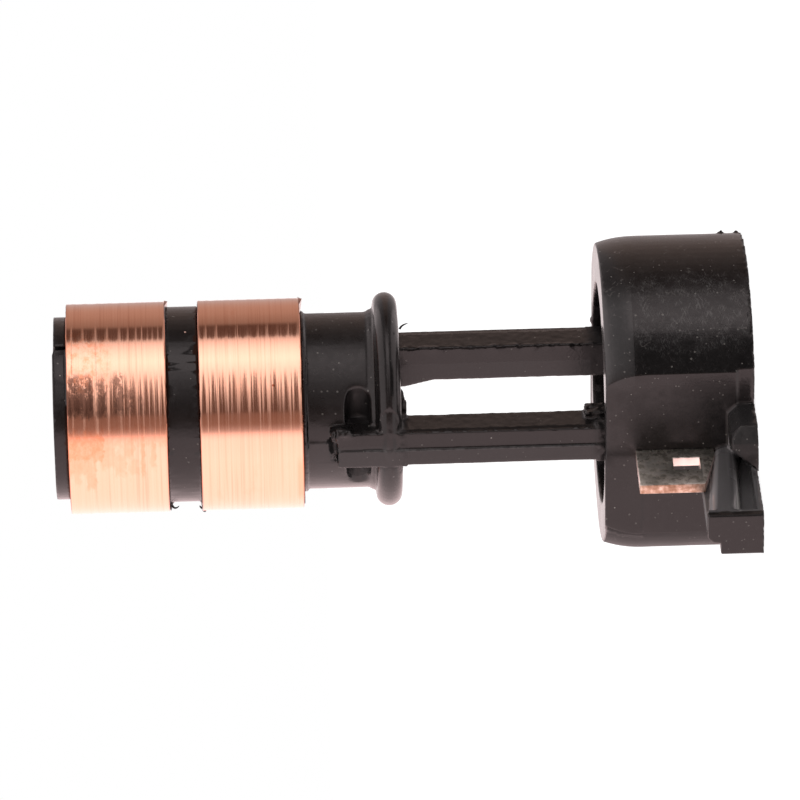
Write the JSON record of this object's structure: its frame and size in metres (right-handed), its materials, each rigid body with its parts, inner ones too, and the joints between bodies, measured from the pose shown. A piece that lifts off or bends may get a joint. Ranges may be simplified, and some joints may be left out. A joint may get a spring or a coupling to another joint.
{
  "type": "alternator slip ring",
  "caption": "Slip ring for an alternator rotor: copper brush tracks on a moulded hub, with legs that carry leads past the bearing seat to solder terminals on a collar.",
  "frame": {"origin": "on the shaft axis, at the flat end of the collar that the part stands on", "axes": "+Z along the shaft from the collar to the rings, +X toward the terminal of the outer ring, +Y completes the right-handed frame"},
  "size_m": [0.0406, 0.0242, 0.0538],
  "materials": {
    "moulding": "satin black glass-filled moulding with scuffs",
    "copper_ring": "turned copper",
    "tinned_lead": "dull tin on copper with bare cut edges"
  },
  "bodies": {
    "root": {"moulded_body": "moulding", "inner_ring": "copper_ring", "outer_ring": "copper_ring", "inner_ring_lead": "tinned_lead", "outer_ring_lead": "tinned_lead"}
  },
  "joints": []
}
